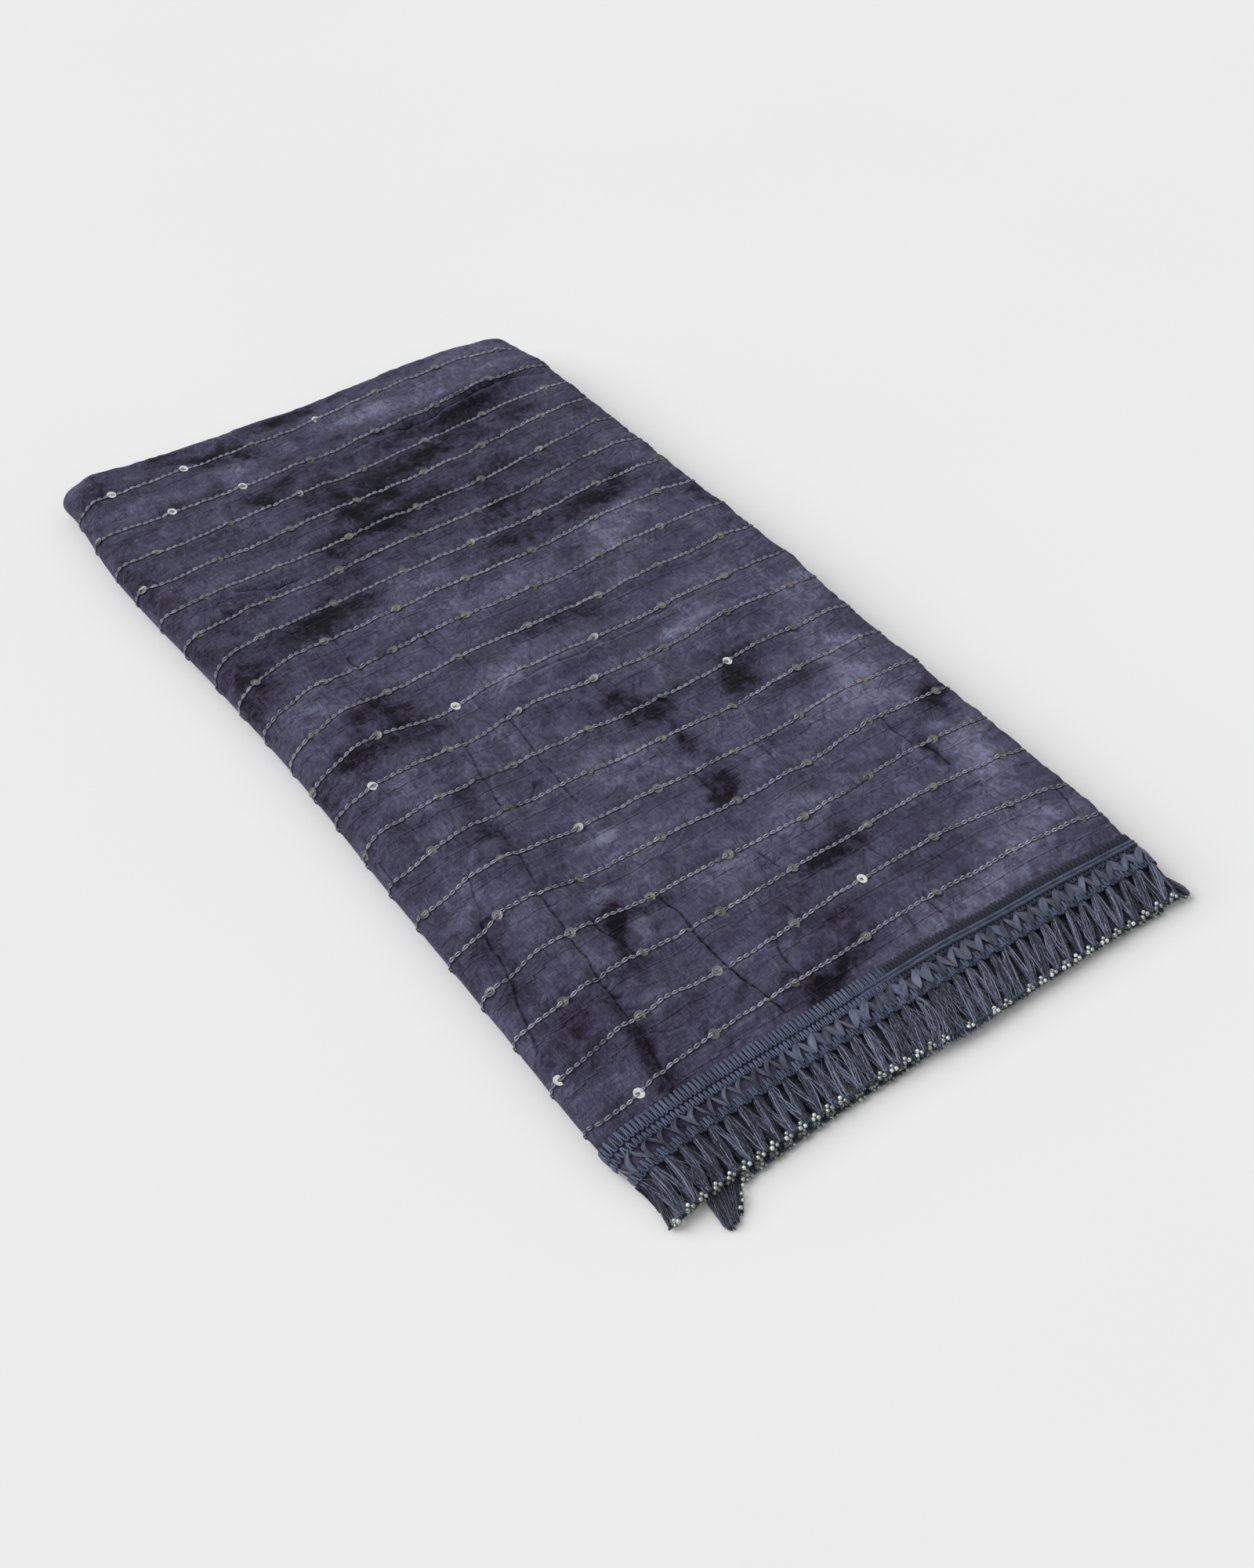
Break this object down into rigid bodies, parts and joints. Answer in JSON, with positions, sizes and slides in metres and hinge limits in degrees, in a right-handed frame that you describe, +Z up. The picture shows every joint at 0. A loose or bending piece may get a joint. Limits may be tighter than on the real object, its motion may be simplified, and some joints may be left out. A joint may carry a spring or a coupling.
{
  "type": "folded dupatta",
  "caption": "Dupatta folded into a flat rectangular packet, with rows of chain stitch and sequins and a beaded fringe lace along one end.",
  "frame": {"origin": "centre of the packet's bounding box, on the surface it rests on", "axes": "+Y from the lace end to the folded end, along the packet's length; +X towards the long side that shows two stacked folds, away from the single rounded fold; +Z up, across the packet's thickness"},
  "size_m": [0.2944, 0.5602, 0.0193],
  "materials": {
    "cloth": "matte tie-dyed plain weave, slate purple with dark blotches",
    "lace": "woven braid and sheer ribbon in slate blue",
    "fringe": "soft shining rayon threads in slate blue",
    "beads": "small silver-lined glass beads on thread"
  },
  "bodies": {
    "root": {"outer_cloth": "cloth", "hidden_layers": "cloth", "lace_tape": "lace", "fringe_top": "fringe", "fringe_lower": "fringe", "fringe_tuft": "fringe", "bead_cord_top": "beads", "bead_cord_lower": "beads"}
  },
  "joints": []
}
